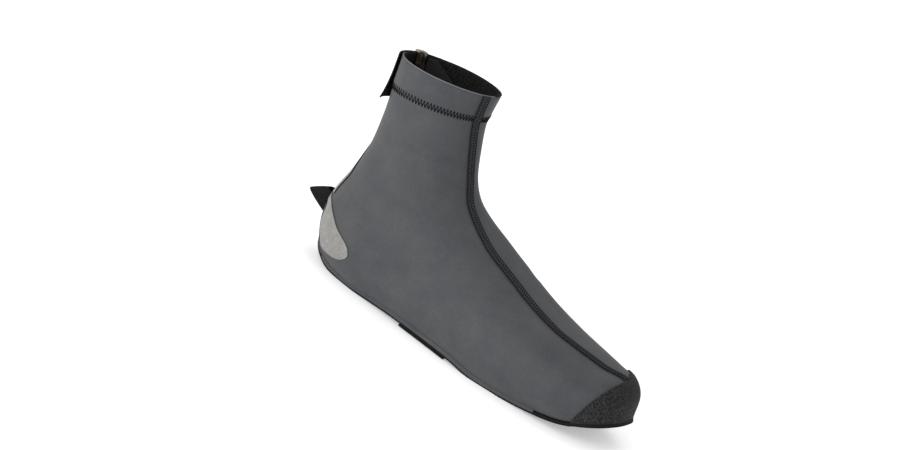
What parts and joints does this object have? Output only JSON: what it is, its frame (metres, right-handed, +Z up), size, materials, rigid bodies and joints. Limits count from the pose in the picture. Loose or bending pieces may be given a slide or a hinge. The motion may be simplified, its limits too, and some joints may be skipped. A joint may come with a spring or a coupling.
{
  "type": "cycling overshoe",
  "caption": "Stretch-fabric cycling overshoe for the right foot, with a rear zip, closure tab, heel loop, toe cap and an open black sole with an arch strap.",
  "frame": {"origin": "on the floor, under the middle of the bounding box", "axes": "+X towards the toe, +Y towards the inner side of the foot, +Z up"},
  "size_m": [0.319, 0.0946, 0.1826],
  "materials": {
    "shell": "satin coated stretch fabric",
    "trim": "matt black tape",
    "webbing": "woven black webbing",
    "panel": "matt black rubberised fabric",
    "cap": "black textured hard-wearing fabric",
    "reflective": "light grey reflective film",
    "metal": "dark bronze"
  },
  "bodies": {
    "shoe": {"upper": "shell", "outsole": "panel", "arch_strap": "webbing", "toe_cap": "cap", "front_seam": "trim", "heel_guard": "panel", "heel_patch": "reflective", "back_strip": "reflective", "heel_loop": "webbing", "zip_tape": "trim", "zip_coil": "panel", "zip_flap": "trim", "zip_slider": "metal", "closure_tab": "webbing"},
    "zip_pull": {"zip_pull": "metal"}
  },
  "joints": [
    {"name": "pull_swing", "type": "hinge", "parent": "shoe", "child": "zip_pull", "pos_m": [-0.1249, 0.01012, 0.17753], "axis": [-0.4245, -0.9052, -0.0205], "range_deg": [0, 180]}
  ]
}
